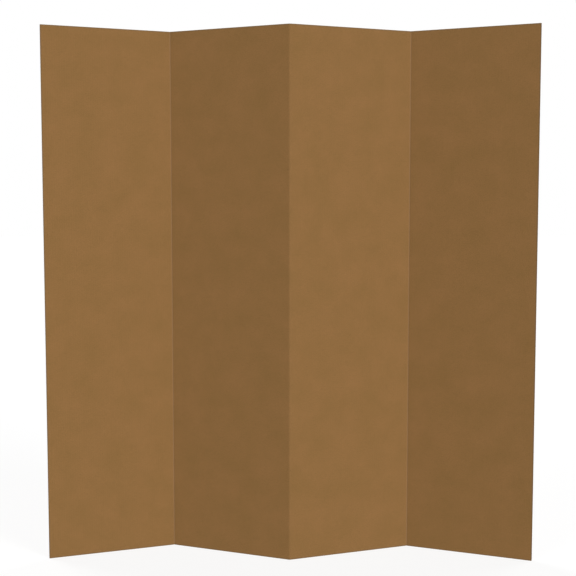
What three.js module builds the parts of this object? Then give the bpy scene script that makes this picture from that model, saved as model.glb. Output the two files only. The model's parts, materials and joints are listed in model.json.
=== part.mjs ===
// Folding room divider: one tall sheet of double-wall corrugated board with three pressed
// creases, standing in a zigzag of four panels.
// Lengths are in millimetres and +Z is up. The front is the -Y side. The origin is on the floor,
// in the middle of the footprint.

import * as THREE from "three";

// The sheet, laid flat
const panelCount = 4;
const sheetHeight = 1828.8;
const creaseSpacing = 444.5;
const endTrim = 1; // each end panel is this much narrower, so that both can lie shut side by side

// The paper layers
const linerThickness = 0.3;
const mediumThickness = 0.25;
const glueLine = 0.1; // film of starch glue between a liner and the tips of the flutes
const frontFluteHeight = 3.3;
const frontFlutePitch = 7.95;
const backFluteHeight = 4.2;
const backFlutePitch = 9;
const fluteTipShare = 0.14; // width of a flute's flattened tip, as a share of its pitch

// The creases
const creaseHalfWidth = 6;
const creaseDepth = 0.5; // how far the inner face stays pressed in at the fold
const creaseSlit = 0.1; // between a layer of a panel and the same layer in the crease
const shutClearance = 0.25; // from a panel's inner face to the line that its fold turns about

// The standing pose
const panelTurn = THREE.MathUtils.degToRad(20.45); // of every panel, away from the screen's line

// The steps of paper from a panel's edge to the fold: at each one, crushed fluting either is on
// its front line or, where this says false, on its back line
const crushedWave = [true, true, false, false, true];
const bendSteps = 4;

const linerColour = "#89663c";
const mediumColour = "#81633f";

// The five layers from the front face to the back face. Each knows the thickness of its paper,
// and its depth behind the front face of the board.
function stackLayers() {
  const layers = [
    { name: "front_liner", thickness: linerThickness },
    { name: "front_fluting", thickness: frontFluteHeight, pitch: frontFlutePitch },
    { name: "middle_liner", thickness: linerThickness },
    { name: "back_fluting", thickness: backFluteHeight, pitch: backFlutePitch },
    { name: "back_liner", thickness: linerThickness },
  ];
  let depth = 0;
  for (const layer of layers) {
    layer.paper = layer.pitch ? mediumThickness : linerThickness;
    layer.depth = depth;
    depth += layer.thickness + glueLine;
  }
  return layers;
}

const layers = stackLayers();
const boardThickness = layers.at(-1).depth + linerThickness;
const squashableHeight = frontFluteHeight + backFluteHeight - mediumThickness - mediumThickness;
const squashShare = creaseDepth / squashableHeight; // of a flute's free height, lost at the fold

// The outline of a strip of paper that follows a line of points.
function ribbonOutline(points, thickness) {
  const nearSide = [];
  const farSide = [];
  points.forEach((point, i) => {
    const before = points[Math.max(i - 1, 0)];
    const after = points[Math.min(i + 1, points.length - 1)];
    const into = point.clone().sub(before).normalize();
    const out = after.clone().sub(point).normalize();
    if (i === 0) into.copy(out);
    if (i === points.length - 1) out.copy(into);
    const along = into.clone().add(out).normalize();
    const reach = thickness / 2 / along.dot(into);
    const across = new THREE.Vector2(-along.y, along.x).multiplyScalar(reach);
    nearSide.push(point.clone().sub(across));
    farSide.push(point.clone().add(across));
  });
  return nearSide.concat(farSide.reverse());
}

// A piece of paper, standing on the floor, with this line of points as its plan.
function standingPaper(name, points, layer) {
  const shape = new THREE.Shape(ribbonOutline(points, layer.paper));
  const geometry = new THREE.ExtrudeGeometry(shape, {
    depth: sheetHeight,
    steps: 1,
    bevelEnabled: false,
  });
  const material = new THREE.MeshStandardMaterial({
    color: layer.pitch ? mediumColour : linerColour,
    roughness: 0.9,
    metalness: 0,
  });
  const mesh = new THREE.Mesh(geometry, material);
  mesh.name = name;
  return mesh;
}

// The depths of a layer's front-most and rear-most line of paper, measured at its mid thickness.
function frontLine(layer) {
  return layer.depth + layer.paper / 2;
}

function backLine(layer) {
  return layer.depth + layer.thickness - layer.paper / 2;
}

// A flat liner between two distances along its panel.
function linerPoints(layer, start, end) {
  const depth = frontLine(layer);
  return [new THREE.Vector2(start, depth), new THREE.Vector2(end, depth)];
}

// Fluting between two distances along its panel: whole waves with flattened tips, which start
// and end half way along a tip on the front side.
function flutingPoints(layer, start, end) {
  const waves = Math.max(1, Math.round((end - start) / layer.pitch));
  const pitch = (end - start) / waves;
  const halfTip = (pitch * fluteTipShare) / 2;
  const front = frontLine(layer);
  const back = backLine(layer);
  const points = [new THREE.Vector2(start, front)];
  for (let wave = 0; wave < waves; wave++) {
    const foot = start + wave * pitch;
    const crest = foot + pitch / 2;
    points.push(new THREE.Vector2(foot + halfTip, front));
    points.push(new THREE.Vector2(crest - halfTip, back));
    points.push(new THREE.Vector2(crest + halfTip, back));
    points.push(new THREE.Vector2(foot + pitch - halfTip, front));
  }
  points.push(new THREE.Vector2(end, front));
  return points;
}

// The rigid part of a panel. In its group, X runs along the panel and Y from its front face to
// its back face.
function makePanel(number, start, end) {
  const panel = new THREE.Group();
  for (const layer of layers) {
    const route = layer.pitch ? flutingPoints : linerPoints;
    panel.add(standingPaper(`panel_${number}_${layer.name}`, route(layer, start, end), layer));
  }
  return panel;
}

// How far a line of paper lies outside the line that the fold turns about. A crease is open
// either to the front or to the back, and all its flutes are squashed towards the other side.
function distanceOut(depth, squashableOutside, pressed, opensToFront) {
  const outwards = opensToFront ? depth : boardThickness - depth;
  const squash = squashableOutside * squashShare * pressed;
  return shutClearance + outwards + squash;
}

// The height of flutes that lies outside a line of paper, and so lets it move when squashed.
function squashableBeyond(layer, onFrontLine, opensToFront) {
  let height = 0;
  for (const other of layers) {
    if (!other.pitch) continue;
    const beyond = opensToFront ? other.depth > layer.depth : other.depth < layer.depth;
    const own = other === layer && onFrontLine === opensToFront;
    if (beyond || own) height += other.thickness - other.paper;
  }
  return height;
}

// The plan of one layer through a crease: along the flank of one panel, round the bend, and
// along the flank of the next. In the fold's group, the origin is the line that it turns about,
// and +Y points out of the bend.
function creasePoints(layer, opensToFront) {
  const reach = creaseHalfWidth - creaseSlit;
  const points = [];
  const place = (side, along, turn, pressed, onFrontLine) => {
    const depth = onFrontLine ? frontLine(layer) : backLine(layer);
    const beyond = squashableBeyond(layer, onFrontLine, opensToFront);
    const out = distanceOut(depth, beyond, pressed, opensToFront);
    const point = new THREE.Vector2(side * along, out);
    points.push(point.rotateAround(new THREE.Vector2(), -turn));
  };
  const flankSteps = crushedWave.length - 1;
  const flank = crushedWave.map((isOnFront, step) => {
    const along = reach * (1 - step / flankSteps);
    const pressed = (1 + Math.cos((Math.PI * along) / reach)) / 2;
    return [along, pressed, isOnFront || !layer.pitch];
  });
  flank.forEach(([along, ...rest]) => place(-1, along, -panelTurn, ...rest));
  for (let step = 1; step < bendSteps; step++) {
    place(0, 0, panelTurn * ((2 * step) / bendSteps - 1), 1, true);
  }
  flank.reverse().forEach(([along, ...rest]) => place(1, along, panelTurn, ...rest));
  return points;
}

// The creased strip that joins two panels, in a group whose origin is the fold's turning line.
function makeCrease(number, opensToFront) {
  const crease = new THREE.Group();
  for (const layer of layers) {
    const points = creasePoints(layer, opensToFront);
    crease.add(standingPaper(`crease_${number}_${layer.name}`, points, layer));
  }
  if (!opensToFront) crease.rotation.z = Math.PI;
  return crease;
}

// The point of a panel at this distance along it and this depth behind its front face.
function pointOnPanel(panel, along, depth) {
  return new THREE.Vector3(along, depth, 0)
    .applyAxisAngle(new THREE.Vector3(0, 0, 1), panel.rotation.z)
    .add(panel.position);
}

// The screen: panels 1 to 4 from left to right, joined edge to edge by creases 1 to 3. Creases 1
// and 3 open to the front and turn about a line before the front face. Crease 2 opens to the
// back and turns about a line behind the back face.
function makeScreen() {
  const screen = new THREE.Group();
  let joint = new THREE.Vector3();
  for (let number = 1; number <= panelCount; number++) {
    const isFirst = number === 1;
    const isLast = number === panelCount;
    const startsAtFront = number % 2 === 0;
    const start = isFirst ? endTrim : creaseHalfWidth;
    const end = isLast ? creaseSpacing - endTrim : creaseSpacing - creaseHalfWidth;
    const panel = makePanel(number, start, end);
    panel.rotation.z = startsAtFront ? -panelTurn : panelTurn;
    const startDepth = startsAtFront ? -shutClearance : boardThickness + shutClearance;
    const toStart = pointOnPanel(panel, 0, startDepth);
    panel.position.copy(joint).sub(toStart);
    screen.add(panel);
    if (isLast) break;

    const opensToFront = !startsAtFront;
    const endDepth = opensToFront ? -shutClearance : boardThickness + shutClearance;
    joint = pointOnPanel(panel, creaseSpacing, endDepth);
    const crease = makeCrease(number, opensToFront);
    crease.position.copy(joint);
    screen.add(crease);
  }
  const middle = new THREE.Box3().setFromObject(screen).getCenter(new THREE.Vector3());
  middle.z = 0;
  screen.children.forEach((child) => child.position.sub(middle));
  return screen;
}

export default makeScreen();
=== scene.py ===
import json
import math
import random
from typing import NamedTuple

import bpy
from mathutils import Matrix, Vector


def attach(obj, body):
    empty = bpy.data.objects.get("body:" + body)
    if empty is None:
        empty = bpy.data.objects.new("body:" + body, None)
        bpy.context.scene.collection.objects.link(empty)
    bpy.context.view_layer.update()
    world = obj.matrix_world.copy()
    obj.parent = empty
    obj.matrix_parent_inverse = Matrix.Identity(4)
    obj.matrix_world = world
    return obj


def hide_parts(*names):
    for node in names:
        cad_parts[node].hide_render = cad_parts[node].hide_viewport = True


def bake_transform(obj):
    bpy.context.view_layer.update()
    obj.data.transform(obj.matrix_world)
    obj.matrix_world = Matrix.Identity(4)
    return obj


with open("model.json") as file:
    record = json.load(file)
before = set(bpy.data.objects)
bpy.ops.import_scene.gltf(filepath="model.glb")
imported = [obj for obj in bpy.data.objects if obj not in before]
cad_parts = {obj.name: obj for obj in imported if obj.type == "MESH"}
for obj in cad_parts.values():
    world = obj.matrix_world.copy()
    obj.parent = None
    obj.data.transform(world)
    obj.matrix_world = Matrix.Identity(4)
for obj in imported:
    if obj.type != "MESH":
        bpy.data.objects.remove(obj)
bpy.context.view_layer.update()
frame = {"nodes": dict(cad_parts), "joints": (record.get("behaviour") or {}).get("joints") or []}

# The looks of a folding room divider: one tall sheet of double-wall corrugated board with three
# pressed creases, standing in a zigzag of four panels.
# Lengths are in metres and +Z is up. The front is the -Y side. The panels' liners are the frame's
# own solids in a finer material. Round flutes and smooth bends replace the other solids.

# The sheet, laid flat
PANEL_COUNT = 4
SHEET_HEIGHT = 1.8288
CREASE_SPACING = 0.4445
END_TRIM = 0.001  # each end panel is this much narrower
SHEET_START = END_TRIM
SHEET_END = PANEL_COUNT * CREASE_SPACING - END_TRIM

# The paper layers
LINER_THICKNESS = 0.0003
MEDIUM_THICKNESS = 0.00025
GLUE_LINE = 0.0001  # film of starch glue between a liner and the tips of the flutes
FRONT_FLUTE_HEIGHT, FRONT_FLUTE_PITCH = 0.0033, 0.00795
BACK_FLUTE_HEIGHT, BACK_FLUTE_PITCH = 0.0042, 0.009
TIP_ROUNDNESS = 0.18  # 0 is a plain sine wave, and more makes rounder tips and straighter flanks
WAVE_STEPS = 16  # points of a flute's line to each pitch

# The creases
CREASE_HALF_WIDTH = 0.006
CREASE_DEPTH = 0.0005  # how far the inner face stays pressed in at the fold
SHUT_CLEARANCE = 0.00025  # from a panel's inner face to the line that its fold turns about
LAST_TIP_SHARE = 0.12  # share of the half width along which the panel's last flute tip lies flat
FLANK_STEPS = 28
BEND_STEPS = 28

# How far the ends of paper that a knife has crushed may fall short of the sheet's
RAGGED_FLUTE = 0.0003
RAGGED_CREASE = 0.0001

SHARP_ANGLE = math.radians(40)  # between faces that aren't shaded as one round surface

# The standing pose
PANEL_TURN = math.radians(20.45)  # of every panel, away from the screen's line
JOINTS = {joint["name"]: joint for joint in frame["joints"]}
# The plan point of the line that each crease's fold turns about
FOLDS = {crease: Vector(JOINTS[f"fold_{crease}"]["pos_m"][:2]) for crease in range(1, PANEL_COUNT)}


class Layer(NamedTuple):
    """A layer of the board: a liner, or fluting, which has a pitch."""

    name: str
    thickness: float
    pitch: float
    depth: float  # behind the front face of the board

    @property
    def paper(self):
        """The thickness of its paper."""
        return MEDIUM_THICKNESS if self.pitch else LINER_THICKNESS

    @property
    def free_height(self):
        """The height that its flutes can lose when they are squashed. A liner has none."""
        return self.thickness - self.paper

    def line(self, share):
        """The depth of its line of paper, from its front line (share 0) to its back line (1)."""
        return self.depth + self.paper / 2 + share * self.free_height


def stack_layers():
    """The layers from the front face to the back face."""
    layers, depth = [], 0.0
    for name, thickness, pitch in (
        ("front_liner", LINER_THICKNESS, 0),
        ("front_fluting", FRONT_FLUTE_HEIGHT, FRONT_FLUTE_PITCH),
        ("middle_liner", LINER_THICKNESS, 0),
        ("back_fluting", BACK_FLUTE_HEIGHT, BACK_FLUTE_PITCH),
        ("back_liner", LINER_THICKNESS, 0),
    ):
        layers.append(Layer(name, thickness, pitch, depth))
        depth += thickness + GLUE_LINE
    return layers


LAYERS = stack_layers()
FRONT_LINER, FRONT_FLUTING, _, BACK_FLUTING, BACK_LINER = LAYERS
FLUTINGS = (FRONT_FLUTING, BACK_FLUTING)
OUTER_LINERS = (FRONT_LINER, BACK_LINER)
BOARD_THICKNESS = BACK_LINER.depth + LINER_THICKNESS
# The share of its free height that each fluting loses at the fold
SQUASH_SHARE = CREASE_DEPTH / sum(layer.free_height for layer in LAYERS)


def turned(x, y, angle):
    """The plan point (x, y), turned about the origin."""
    cos, sin = math.cos(angle), math.sin(angle)
    return Vector((x * cos - y * sin, x * sin + y * cos))


def opens_to_front(crease):
    """The creases open to the front and to the back by turns."""
    return crease % 2 == 1


class Panel(NamedTuple):
    """A panel's plan. Its rigid part runs from start to end, which are distances along it."""

    number: int
    origin: Vector
    angle: float
    start: float
    end: float

    def point(self, along, depth):
        """The plan point at this distance along the panel and this depth behind its front face."""
        return self.origin + turned(along, depth, self.angle)

    def across(self, along):
        """The place across the flat sheet of a point at this distance along the panel."""
        return (self.number - 1) * CREASE_SPACING + along

    def flute_count(self, layer):
        return max(1, round((self.end - self.start) / layer.pitch))


def plan_panel(number):
    """Panel 1 is placed by the fold on its right, and the others by the fold on their left."""
    angle = PANEL_TURN if number % 2 else -PANEL_TURN
    start = END_TRIM if number == 1 else CREASE_HALF_WIDTH
    end = CREASE_SPACING - (END_TRIM if number == PANEL_COUNT else CREASE_HALF_WIDTH)
    if number == 1:
        origin = FOLDS[1] - turned(CREASE_SPACING, -SHUT_CLEARANCE, angle)
    else:
        depth = -SHUT_CLEARANCE if opens_to_front(number - 1) else BOARD_THICKNESS + SHUT_CLEARANCE
        origin = FOLDS[number - 1] - turned(0, depth, angle)
    return Panel(number, origin, angle, start, end)


# Building the strips of paper


class Route(NamedTuple):
    """The plan that a strip of paper follows, from left to right."""

    points: list
    across: list  # each point's place across the flat sheet
    pressed: list = None  # how hard each point is pressed by a crease, from 0 to 1


def offset_sides(points, thickness):
    """The two sides of a strip of paper that follows a line of plan points."""
    near, far = [], []
    last = len(points) - 1
    for i, point in enumerate(points):
        into = (point - points[i - 1]).normalized() if i else None
        out = (points[i + 1] - point).normalized() if i < last else None
        into, out = into or out, out or into
        along = (into + out).normalized()
        across = Vector((-along.y, along.x)) * (thickness / 2 / along.dot(into))
        near.append(point - across)
        far.append(point + across)
    return near, far


def ragged_end(draw, count, most):
    """How far each point of a strip falls short of the sheet's end, softened by its neighbours."""
    drops = [draw.random() * most for _ in range(count)]
    padded = [drops[0], *drops, drops[-1]]
    return [sum(padded[i : i + 3]) / 3 for i in range(count)]


def strip_faces(count):
    """The faces of a strip, whose corners are numbered in four rows of so many: near and far at the
    lower end, then near and far at the upper end."""
    rings = [[row * count + i for row in (0, 1, 3, 2)] for i in range(count)]
    faces = [rings[0][::-1], rings[-1]]
    for ring, following in zip(rings, rings[1:]):
        for k in range(4):
            faces.append((following[k - 1], ring[k - 1], ring[k], following[k]))
    return faces


def add_object(name, data):
    """Adds an object with this mesh, light or camera to the scene."""
    added = bpy.data.objects.new(name, data)
    bpy.context.scene.collection.objects.link(added)
    return added


def paper_strip(name, route, thickness, ragged):
    """A standing strip of paper, with a map of where it lies on the flat sheet."""
    count = len(route.points)
    draw = random.Random(name)
    lower = ragged_end(draw, count, ragged)
    upper = [SHEET_HEIGHT - drop for drop in ragged_end(draw, count, ragged)]
    corners, places = [], []
    for level in (lower, upper):
        for side in offset_sides(route.points, thickness):
            corners += [(point.x, point.y, z) for point, z in zip(side, level)]
            places += zip(route.across, level)
    mesh = bpy.data.meshes.new(name)
    mesh.from_pydata(corners, [], strip_faces(count))
    sheet = mesh.uv_layers.new(name="sheet")
    for loop in mesh.loops:
        sheet.data[loop.index].uv = places[loop.vertex_index]
    if route.pressed:
        mark = mesh.attributes.new("pressed", "FLOAT", "POINT")
        mark.data.foreach_set("value", route.pressed * 4)  # once for each row of corners
    for polygon in mesh.polygons:
        polygon.use_smooth = True
    mesh.set_sharp_from_angle(angle=SHARP_ANGLE)
    return add_object(name, mesh)


def wave(turns):
    """Where a flute's paper is between its front line (0) and its back line (1), after this many
    pitches."""
    swing = math.cos(2 * math.pi * turns)
    return 0.5 - 0.5 * swing * (1 + TIP_ROUNDNESS * (1 - swing * swing))


def make_panel_fluting(panel, layer):
    steps = panel.flute_count(layer) * WAVE_STEPS
    points, across = [], []
    for step in range(steps + 1):
        along = panel.start + (panel.end - panel.start) * step / steps
        points.append(panel.point(along, layer.line(wave(step / WAVE_STEPS))))
        across.append(panel.across(along))
    name = f"flutes_{panel.number}_{layer.name}"
    return paper_strip(name, Route(points, across), layer.paper, RAGGED_FLUTE)


def squashable_beyond(layer, share, to_front):
    """The height of flutes outside a line of paper, which lets it move when they are squashed."""
    height = layer.free_height * (1 - share if to_front else share)
    for other in LAYERS:
        if other != layer and (other.depth > layer.depth) == to_front:
            height += other.free_height
    return height


def crushed_share(distance):
    """Where crushed fluting is between its front line (0) and its back line (1), at this distance
    from the fold."""
    turns = 1 - distance / CREASE_HALF_WIDTH
    if turns < LAST_TIP_SHARE:
        return 0.0
    return wave((turns - LAST_TIP_SHARE) / (1 - LAST_TIP_SHARE))


def crease_line(layer, to_front):
    """A layer's plan through a crease: along one flank, round the bend and along the other flank,
    and how hard each of its points is pressed. The origin is the line that the fold turns about,
    and +Y points out of the bend."""
    points, pressed = [], []

    def place(along, turn):
        press = (1 + math.cos(math.pi * along / CREASE_HALF_WIDTH)) / 2
        share = crushed_share(abs(along)) if layer.pitch else 0.0
        depth = layer.line(share)
        outwards = depth if to_front else BOARD_THICKNESS - depth
        squash = squashable_beyond(layer, share, to_front) * SQUASH_SHARE * press
        points.append(turned(along, SHUT_CLEARANCE + outwards + squash, -turn))
        pressed.append(press)

    for step in range(FLANK_STEPS):
        place(CREASE_HALF_WIDTH * (step / FLANK_STEPS - 1), -PANEL_TURN)
    for step in range(BEND_STEPS + 1):
        place(0.0, PANEL_TURN * (2 * step / BEND_STEPS - 1))
    for step in range(1, FLANK_STEPS + 1):
        place(CREASE_HALF_WIDTH * step / FLANK_STEPS, PANEL_TURN)
    return points, pressed


def spread_across(crease, points):
    """Where a crease's points lie across the flat sheet, by how far each is along their line."""
    lengths = [0.0]
    for before, after in zip(points, points[1:]):
        lengths.append(lengths[-1] + (after - before).length)
    first = crease * CREASE_SPACING - CREASE_HALF_WIDTH
    return [first + 2 * CREASE_HALF_WIDTH * length / lengths[-1] for length in lengths]


def make_crease_layer(crease, layer):
    to_front = opens_to_front(crease)
    points, pressed = crease_line(layer, to_front)
    fold = FOLDS[crease]
    facing = 0.0 if to_front else math.pi
    points = [fold + turned(point.x, point.y, facing) for point in points]
    if not to_front:
        points.reverse()  # to run from left to right. pressed is the same from either end
    route = Route(points, spread_across(crease, points), pressed)
    name = f"crease_strip_{crease}_{layer.name}"
    piece = paper_strip(name, route, layer.paper, RAGGED_CREASE)
    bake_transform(piece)
    return piece


# Kraft paper. Colours are linear, and shares are of a colour's own channels. Patterns are given in
# cells to the metre, and relief in metres.
LINER_COLOUR = (0.2498, 0.1315, 0.0449)
MEDIUM_COLOUR = (0.2180, 0.1240, 0.0500)
CLOUD_SHARES = (0.1188, 0.0889, 0.1584)  # more in the palest cloud, and less in the darkest
FOLD_WEAR_AND_HIGHLIGHT_SHARES = (0.15, 0.3, 0.9)  # of paper that a fold has worked, paler also as a painted highlight along the fold
RUBBED_SHARES = (-0.14, -0.09, 0.04)  # of the handled rim
TORN_SHARES = (0.16, 0.2, 0.34)  # of the fibre ends at a cut edge
GRAIN_SHARE = 0.14  # added to a colour by a whole step of the grain
ROUGHNESS = 0.9
ROUGHNESS_SWING = 0.25  # taken off it by a whole step of the grain
SPECULAR_LEVEL = 0.12

CLOUDS = {"cells": 10.5, "detail": 3.0, "roughness": 0.55}

# The grain is the sum of four patterns, each times its weight
GRAIN_MEAN = 0.06  # of that sum, which is taken off it
FORMATION = {"cells": 150.0, "detail": 2.0, "roughness": 0.6}
FORMATION_WEIGHT = 0.3
# Crossing streaks: cells along and across the fibres, their angle in degrees, and their weight.
# Most fibres lie across the sheet, as the paper machine lays them.
STREAKS = (
    (650, 3200, 9, 1.0),
    (800, 2700, -24, 1.0),
    (900, 2500, 76, 0.6),
)
STREAK_WEIGHT = 1.7  # of all the streaks together
# Single fibres: cells along and across them, their angle, cells of the gaps that break them up,
# and their weight, which is negative for dark fibres
FIBRES = (
    (150, 900, 12, 420, 1.0),
    (230, 700, -32, 510, 0.7),
    (190, 820, -5, 350, -1.6),
)
FIBRE_CORE, FIBRE_EDGE = 0.02, 0.1  # a fibre's noise where its full tone ends, and where it ends
FIBRE_FADE = 0.08  # the gaps' noise at which a fibre is whole again
# Slivers of bark and undercooked wood
SLIVER_CELLS = (110, 260)
SLIVER_ANGLE = math.radians(-6)
SLIVER_CORE, SLIVER_EDGE = 0.05, 0.11  # in cells, from a sliver's middle
SLIVER_RARITY = 0.7  # share of the cells that have none
SLIVER_WEIGHT = -2.2

DEEP_CELLS = 40  # through the sheet's thickness, which only sets the layers apart
LAYER_APART = 60  # a layer's depth counts this many times, so that no two have the same pattern

STREAK_RELIEF = 0.000014
FORMATION_RELIEF = 0.00002
FIBRE_RELIEF = 0.000006
WASHBOARD_RELIEF = 0.000022  # of the flutes that show through the outer liners

# The wear and painted highlight of the folds, the rim and the cut edges
INNER_WEAR_AND_HIGHLIGHT, OUTER_WEAR_AND_HIGHLIGHT = 0.6, 0.03  # of the side that a crease opens to, and of the other layers
PALE_FOLD_LINE_POWER = 6.0  # more makes the pale line of wear and painted highlight narrower
WRINKLE_CELLS = (2600, 90)  # across a fold and along it
WRINKLE_DETAIL = 2.0
WRINKLE_RELIEF = 0.00006
RIM_WIDTH = 0.005
RIM_NOISE = {"cells": 90.0, "detail": 3.0, "roughness": 0.6}
CUT_STEEPNESS = 0.7  # a cut edge's normal has more of Z than this
TORN_AMOUNT = 0.6


class Nodes:
    """Makes the nodes of one tree. A value is a number, a tuple or the socket that gives it."""

    def __init__(self, tree):
        self.tree = tree

    def add(self, kind, **settings):
        node = self.tree.nodes.new(kind)
        for name, setting in settings.items():
            setattr(node, name, setting)
        return node

    def feed(self, socket, value):
        if isinstance(value, bpy.types.NodeSocket):
            self.tree.links.new(value, socket)
        else:
            socket.default_value = value

    def feed_inputs(self, node, inputs):
        """Feeds these values to the inputs that they are named after."""
        for name, value in inputs.items():
            self.feed(node.inputs[name], value)

    def maths(self, operation, *values):
        node = self.add("ShaderNodeMath", operation=operation)
        for socket, value in zip(node.inputs, values):
            self.feed(socket, value)
        return node.outputs[0]

    def plus(self, first, second):
        return self.maths("ADD", first, second)

    def minus(self, first, second):
        return self.maths("SUBTRACT", first, second)

    def times(self, first, second):
        return self.maths("MULTIPLY", first, second)

    def times_plus(self, first, second, added):
        return self.maths("MULTIPLY_ADD", first, second, added)

    def weighted_sum(self, *pairs):
        """The sum of each value times its weight."""
        total = 0.0
        for value, weight in pairs:
            total = self.times_plus(value, weight, total)
        return total

    def ramp(self, value, low, high, at_low=0.0, at_high=1.0):
        """at_low below low, at_high above high and a straight line between them."""
        node = self.add("ShaderNodeMapRange", clamp=True)
        self.feed_inputs(node, {"Value": value, "From Min": low, "From Max": high})
        self.feed_inputs(node, {"To Min": at_low, "To Max": at_high})
        return node.outputs[0]

    def split(self, vector):
        """The X, Y and Z of a vector."""
        node = self.add("ShaderNodeSeparateXYZ")
        self.feed(node.inputs[0], vector)
        return node.outputs

    def join(self, x, y, z):
        node = self.add("ShaderNodeCombineXYZ")
        for socket, value in zip(node.inputs, (x, y, z)):
            self.feed(socket, value)
        return node.outputs[0]

    def mapped(self, vector, **inputs):
        """The vector scaled, then turned, then moved."""
        node = self.add("ShaderNodeMapping", vector_type="POINT")
        self.feed_inputs(node, {"Vector": vector, **inputs})
        return node.outputs[0]

    def grained(self, vector, along, across, angle=0.0):
        """The place in a pattern of cells that are stretched along a line at this angle."""
        turned_back = self.mapped(vector, Rotation=(0, 0, -angle))
        return self.mapped(turned_back, Scale=(along, across, DEEP_CELLS))

    def noise(self, vector, cells=1.0, detail=1.0, roughness=0.5):
        """Noise that swings about zero, between -1/2 and 1/2."""
        node = self.add("ShaderNodeTexNoise", noise_dimensions="3D")
        self.feed_inputs(node, {"Vector": vector, "Scale": cells})
        self.feed_inputs(node, {"Detail": detail, "Roughness": roughness})
        return self.minus(node.outputs["Fac"], 0.5)

    def mixed(self, amount, first, second):
        """The first colour turned into the second by this amount, from 0 to 1."""
        node = self.add("ShaderNodeMix", data_type="RGBA")
        self.feed_inputs(node, {"Factor": amount, "A": first, "B": second})
        return node.outputs["Result"]

    def scaled(self, colour, factor):
        node = self.add("ShaderNodeVectorMath", operation="SCALE")
        self.feed(node.inputs[0], colour)
        self.feed(node.inputs["Scale"], factor)
        return node.outputs[0]


def tinted(colour, shares, strength=1.0):
    """The colour with each channel changed by its share, as a node's colour."""
    channels = [channel * (1 + strength * share) for channel, share in zip(colour, shares)]
    return (*channels, 1.0)


def streaks(nodes, vector):
    layers = []
    for along, across, angle, weight in STREAKS:
        place = nodes.grained(vector, along, across, math.radians(angle))
        layers.append((nodes.noise(place), weight))
    return nodes.weighted_sum(*layers)


def fibres(nodes, vector):
    """Thin curling fibres, which follow the middle contour of a stretched noise and are broken up
    by another. Gives each set of them with its weight."""
    sets = []
    for along, across, angle, gaps, weight in FIBRES:
        field = nodes.noise(nodes.grained(vector, along, across, math.radians(angle)))
        line = nodes.ramp(nodes.maths("ABSOLUTE", field), FIBRE_CORE, FIBRE_EDGE, 1.0, 0.0)
        broken = nodes.ramp(nodes.noise(vector, cells=gaps), 0.0, FIBRE_FADE)
        sets.append((nodes.times(line, broken), weight))
    return sets


def slivers(nodes, vector):
    place = nodes.grained(vector, *SLIVER_CELLS, SLIVER_ANGLE)
    cells = nodes.add("ShaderNodeTexVoronoi", voronoi_dimensions="2D", feature="F1")
    nodes.feed_inputs(cells, {"Vector": place, "Scale": 1.0})
    chance = nodes.add("ShaderNodeSeparateColor")
    nodes.feed(chance.inputs[0], cells.outputs["Color"])
    sliver = nodes.ramp(cells.outputs["Distance"], SLIVER_CORE, SLIVER_EDGE, 1.0, 0.0)
    return nodes.times(sliver, nodes.ramp(chance.outputs[0], SLIVER_RARITY, 1.0))


def make_kraft():
    """A node group that takes a place on the flat sheet, in metres, and gives the paper's clouds,
    its grain and its relief in metres."""
    group = bpy.data.node_groups.new("kraft_paper", "ShaderNodeTree")
    group.interface.new_socket("Vector", in_out="INPUT", socket_type="NodeSocketVector")
    for output in ("Clouds", "Grain", "Relief"):
        group.interface.new_socket(output, in_out="OUTPUT", socket_type="NodeSocketFloat")
    nodes = Nodes(group)
    vector = nodes.add("NodeGroupInput").outputs["Vector"]
    clouds = nodes.noise(vector, **CLOUDS)
    formation = nodes.noise(vector, **FORMATION)
    streak = streaks(nodes, vector)
    fibre_sets = fibres(nodes, vector)
    patterns = nodes.weighted_sum(
        (formation, FORMATION_WEIGHT),
        (streak, STREAK_WEIGHT),
        *fibre_sets,
        (slivers(nodes, vector), SLIVER_WEIGHT),
    )
    grain = nodes.minus(patterns, GRAIN_MEAN)
    pale_fibres = [(lines, FIBRE_RELIEF) for lines, weight in fibre_sets if weight > 0]
    relief = nodes.weighted_sum(
        (streak, STREAK_RELIEF), (formation, FORMATION_RELIEF), *pale_fibres
    )
    end = nodes.add("NodeGroupOutput")
    nodes.feed_inputs(end, {"Clouds": clouds, "Grain": grain, "Relief": relief})
    return group


KRAFT = make_kraft()


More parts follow.
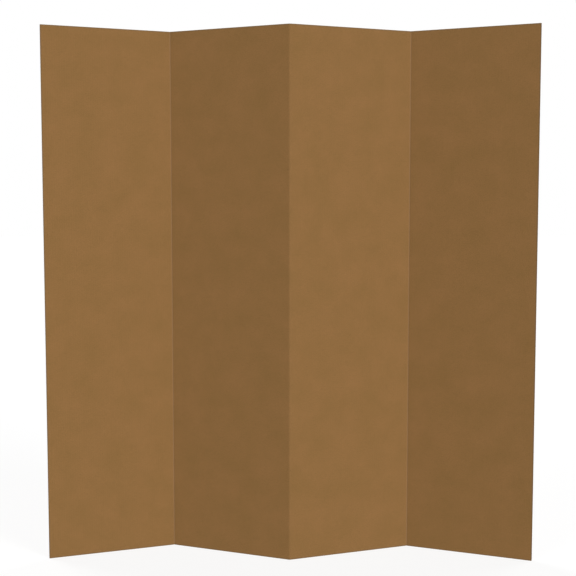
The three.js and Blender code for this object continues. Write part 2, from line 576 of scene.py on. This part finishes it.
class Surface:
    """A paper material in the making: its place on the sheet, its grain, colour and relief."""

    def __init__(self, name, locate, base):
        self.material = bpy.data.materials.new(name)
        self.material.use_nodes = True
        self.nodes = Nodes(self.material.node_tree)
        self.base = base
        self.place = locate(self.nodes)
        paper = self.nodes.add("ShaderNodeGroup", node_tree=KRAFT)
        self.nodes.feed(paper.inputs["Vector"], self.place)
        self.grain = paper.outputs["Grain"]
        self.relief = paper.outputs["Relief"]
        paleness = self.nodes.plus(paper.outputs["Clouds"], 0.5)
        darkest, palest = tinted(base, CLOUD_SHARES, -1), tinted(base, CLOUD_SHARES)
        clouded = self.nodes.mixed(paleness, darkest, palest)
        grain_tone = self.nodes.times_plus(self.grain, GRAIN_SHARE, 1.0)
        self.colour = self.nodes.scaled(clouded, grain_tone)

    def show_flutes(self, first, pitch):
        """The flutes show through an outer liner as a faint washboard. first is the place of a
        flute's tip across the sheet."""
        across = self.nodes.split(self.place)[0]
        turns = self.nodes.maths("DIVIDE", self.nodes.minus(across, first), pitch)
        swell = self.nodes.maths("COSINE", self.nodes.times(turns, 2 * math.pi))
        self.relief = self.nodes.times_plus(swell, WASHBOARD_RELIEF, self.relief)

    def wear_fold(self, wear_and_highlight):
        """Paper that a fold has pressed and worked is paler, and finely wrinkled along it. The pale
        line is also a painted highlight, standing in for the light on the crease's lit flank.
        """
        mark = self.nodes.add("ShaderNodeAttribute", attribute_name="pressed").outputs["Fac"]
        line = self.nodes.maths("POWER", mark, PALE_FOLD_LINE_POWER)
        place = self.nodes.grained(self.place, *WRINKLE_CELLS)
        wrinkles = self.nodes.noise(place, detail=WRINKLE_DETAIL)
        uneven = self.nodes.times_plus(wrinkles, 2 * wear_and_highlight, wear_and_highlight)
        worn_and_highlit = tinted(self.base, FOLD_WEAR_AND_HIGHLIGHT_SHARES)
        # painted highlight: the pale mix along the fold is partly worked paper and partly light
        # painted in
        self.colour = self.nodes.mixed(self.nodes.times(line, uneven), self.colour, worn_and_highlit)
        wrinkled = self.nodes.times(wrinkles, mark)
        self.relief = self.nodes.times_plus(wrinkled, WRINKLE_RELIEF, self.relief)

    def rub_rim(self):
        """Handling has rubbed the rim of the sheet a little darker and greyer, unevenly."""
        across, up, _ = self.nodes.split(self.place)
        from_left = self.nodes.minus(across, SHEET_START)
        from_right = self.nodes.minus(SHEET_END, across)
        from_sides = self.nodes.maths("MINIMUM", from_left, from_right)
        from_ends = self.nodes.maths("MINIMUM", up, self.nodes.minus(SHEET_HEIGHT, up))
        inwards = self.nodes.maths("MINIMUM", from_sides, from_ends)
        uneven = self.nodes.noise(self.place, **RIM_NOISE)
        distance = self.nodes.times_plus(uneven, RIM_WIDTH, inwards)
        amount = self.nodes.ramp(distance, RIM_WIDTH / 2, RIM_WIDTH, 1.0, 0.0)
        self.colour = self.nodes.mixed(amount, self.colour, tinted(self.base, RUBBED_SHARES))

    def bare_edges(self):
        """A cut edge shows torn fibre ends, which are paler than the pressed face."""
        normal = self.nodes.add("ShaderNodeNewGeometry").outputs["True Normal"]
        steepness = self.nodes.maths("ABSOLUTE", self.nodes.split(normal)[2])
        cut = self.nodes.maths("GREATER_THAN", steepness, CUT_STEEPNESS)
        torn = tinted(self.base, TORN_SHARES)
        self.colour = self.nodes.mixed(self.nodes.times(cut, TORN_AMOUNT), self.colour, torn)

    def finish(self, with_relief):
        shader = self.material.node_tree.nodes["Principled BSDF"]
        plain = {"Roughness": ROUGHNESS, "Specular IOR Level": SPECULAR_LEVEL}
        self.nodes.feed_inputs(shader, {"Base Color": self.colour, **plain})
        if with_relief:
            roughness = self.nodes.times_plus(self.grain, -ROUGHNESS_SWING, ROUGHNESS)
            bump = self.nodes.add("ShaderNodeBump")
            self.nodes.feed_inputs(bump, {"Strength": 1.0, "Distance": 1.0, "Height": self.relief})
            self.nodes.feed_inputs(shader, {"Roughness": roughness, "Normal": bump.outputs[0]})
        return self.material


def paper_colour(layer):
    return MEDIUM_COLOUR if layer.pitch else LINER_COLOUR


def by_panel(panel, layer):
    """Finds the place on the flat sheet of a rigid panel's point, from its own coordinates."""

    def locate(nodes):
        coordinates = nodes.add("ShaderNodeTexCoord").outputs["Object"]
        # Where the scene's origin is along the panel and behind its front face
        home = turned(-panel.origin.x, -panel.origin.y, -panel.angle)
        shift = (panel.across(home.x), home.y, 0)
        laid = nodes.mapped(coordinates, Rotation=(0, 0, -panel.angle), Location=shift)
        across, _, up = nodes.split(laid)
        return nodes.join(across, up, layer.depth * LAYER_APART)

    return locate


def by_map(layer):
    """Finds the place on the flat sheet of a strip's point, from its map."""

    def locate(nodes):
        sheet = nodes.add("ShaderNodeUVMap", uv_map="sheet").outputs[0]
        across, up, _ = nodes.split(sheet)
        return nodes.join(across, up, layer.depth * LAYER_APART)

    return locate


def make_panel_liner_material(panel, layer):
    name = f"kraft_{layer.name}_{panel.number}"
    surface = Surface(name, by_panel(panel, layer), paper_colour(layer))
    if layer in OUTER_LINERS:
        is_front = layer == FRONT_LINER
        flutes = panel.flute_count(FRONT_FLUTING if is_front else BACK_FLUTING)
        pitch = (panel.end - panel.start) / flutes
        tip = panel.start + (0 if is_front else pitch / 2)
        surface.show_flutes(panel.across(tip), pitch)
        surface.rub_rim()
    surface.bare_edges()
    return surface.finish(with_relief=layer in OUTER_LINERS)


def make_fluting_material(layer):
    surface = Surface(f"kraft_{layer.name}", by_map(layer), paper_colour(layer))
    surface.bare_edges()
    return surface.finish(with_relief=False)


def make_crease_material(layer, side, wear_and_highlight):
    surface = Surface(f"kraft_{layer.name}_{side}_fold", by_map(layer), paper_colour(layer))
    surface.wear_fold(wear_and_highlight)
    if layer in OUTER_LINERS:
        surface.rub_rim()
    surface.bare_edges()
    return surface.finish(with_relief=layer in OUTER_LINERS)


def dress(piece, material, node):
    """The piece gets its material, and the node that it stands for is hidden."""
    piece.data.materials.append(material)
    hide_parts(node)


def dress_panels():
    fluting_materials = {layer: make_fluting_material(layer) for layer in FLUTINGS}
    for number in range(1, PANEL_COUNT + 1):
        panel = plan_panel(number)
        for layer in LAYERS:
            node = f"panel_{number}_{layer.name}"
            if layer.pitch:
                piece = make_panel_fluting(panel, layer)
                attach(piece, f"panel_{number}")
                dress(piece, fluting_materials[layer], node)
            else:
                material = make_panel_liner_material(panel, layer)
                for slot in frame["nodes"][node].material_slots:
                    slot.material = material


def dress_creases():
    """The creases share their materials. The side that a crease opens to is worn the most and has
    the most painted highlight.
    """
    # the pale fold line is worn paper and a painted highlight
    worn_and_highlit_materials = {liner: make_crease_material(liner, "inner", INNER_WEAR_AND_HIGHLIGHT) for liner in OUTER_LINERS}
    little_worn_and_highlit_materials = {layer: make_crease_material(layer, "outer", OUTER_WEAR_AND_HIGHLIGHT) for layer in LAYERS}
    for crease in range(1, PANEL_COUNT):
        inner = FRONT_LINER if opens_to_front(crease) else BACK_LINER
        for layer in LAYERS:
            material = worn_and_highlit_materials[layer] if layer == inner else little_worn_and_highlit_materials[layer]
            piece = make_crease_layer(crease, layer)
            dress(piece, material, f"crease_{crease}_{layer.name}")


dress_panels()
dress_creases()


# Floor, light and camera


class Lamp(NamedTuple):
    """A far lamp, as wide as its angle. Its angles are in degrees, and its azimuth is from the
    front towards the right."""

    azimuth: float
    elevation: float
    strength: float
    angle: float


LAMPS = {
    "key": Lamp(50, 20, 0.859, 25),
    "fill": Lamp(-50, 20, 0.4375, 35),
    "back_right": Lamp(130, 20, 0.50, 35),
    "back_left": Lamp(-130, 20, 0.82, 35),
}
AMBIENT = 0.25  # light of the world and of the floor
FLOOR_REACH = 40.0
FLOOR_GLOW_SHARE = 0.8  # of the floor's brightness that no shadow takes away
FLOOR_WHITE = 1.03  # its glow where it is seen
FLOOR_SEEN = (0.86, 0.86, 0.86, 1)  # its colour where it is seen
FLOOR_BOUNCE = (0.22, 0.22, 0.22, 1)  # its colour to the light that it throws back
CAMERA_PLACE = (0.04575, -3.56075, 1.21481)
CAMERA_DOWN = math.radians(4.4309)
CAMERA_LEFT = math.radians(0.8495)
CAMERA_LENS = 64.204


def where_seen(nodes):
    """1 to the camera, in gloss and through glass, where the studio shows, and 0 to other light."""
    path = nodes.add("ShaderNodeLightPath").outputs
    mirrored = nodes.maths("MAXIMUM", path["Is Glossy Ray"], path["Is Transmission Ray"])
    return nodes.maths("MAXIMUM", path["Is Camera Ray"], mirrored)


def make_floor():
    """White where it is seen. The light that it throws back is as dim as the world's."""
    mesh = bpy.data.meshes.new("floor")
    sides = ((-1, -1), (1, -1), (1, 1), (-1, 1))
    corners = [(x * FLOOR_REACH, y * FLOOR_REACH, 0) for x, y in sides]
    mesh.from_pydata(corners, [], [(0, 1, 2, 3)])
    material = bpy.data.materials.new("white_floor")
    material.use_nodes = True
    nodes = Nodes(material.node_tree)
    seen = where_seen(nodes)
    colour = nodes.mixed(seen, FLOOR_BOUNCE, FLOOR_SEEN)
    shader = material.node_tree.nodes["Principled BSDF"]
    nodes.feed_inputs(shader, {"Base Color": colour, "Roughness": 1.0, "Specular IOR Level": 0.0})
    glow = nodes.add("ShaderNodeEmission")
    nodes.feed(glow.inputs["Strength"], nodes.ramp(seen, 0.0, 1.0, AMBIENT, FLOOR_WHITE))
    mix = nodes.add("ShaderNodeMixShader")
    for socket, value in zip(mix.inputs, (FLOOR_GLOW_SHARE, shader.outputs[0], glow.outputs[0])):
        nodes.feed(socket, value)
    nodes.feed(material.node_tree.nodes["Material Output"].inputs["Surface"], mix.outputs[0])
    mesh.materials.append(material)
    add_object("floor", mesh)


def make_world():
    """White where it is seen, and a dim light to the rest."""
    world = bpy.data.worlds.new("studio")
    bpy.context.scene.world = world
    world.use_nodes = True
    nodes = Nodes(world.node_tree)
    strength = nodes.ramp(where_seen(nodes), 0.0, 1.0, AMBIENT, 1.0)
    background = world.node_tree.nodes["Background"]
    nodes.feed_inputs(background, {"Color": (1, 1, 1, 1), "Strength": strength})


def add_lamp(name, lamp):
    light = bpy.data.lights.new(name, "SUN")
    light.energy = lamp.strength * math.pi
    light.angle = math.radians(lamp.angle)
    azimuth, elevation = math.radians(lamp.azimuth), math.radians(lamp.elevation)
    front = -math.cos(azimuth) * math.cos(elevation)
    towards = Vector((math.sin(azimuth) * math.cos(elevation), front, math.sin(elevation)))
    add_object(name, light).rotation_euler = towards.to_track_quat("Z", "Y").to_euler()


def make_camera():
    camera = add_object("camera", bpy.data.cameras.new("camera"))
    camera.location = CAMERA_PLACE
    camera.rotation_euler = (math.pi / 2 - CAMERA_DOWN, 0, CAMERA_LEFT)
    camera.data.lens = CAMERA_LENS
    bpy.context.scene.camera = camera


make_floor()
make_world()
for lamp_name, settings in LAMPS.items():
    add_lamp(lamp_name, settings)
make_camera()
bpy.context.scene.view_settings.view_transform = "Standard"

bpy.context.view_layer.update()
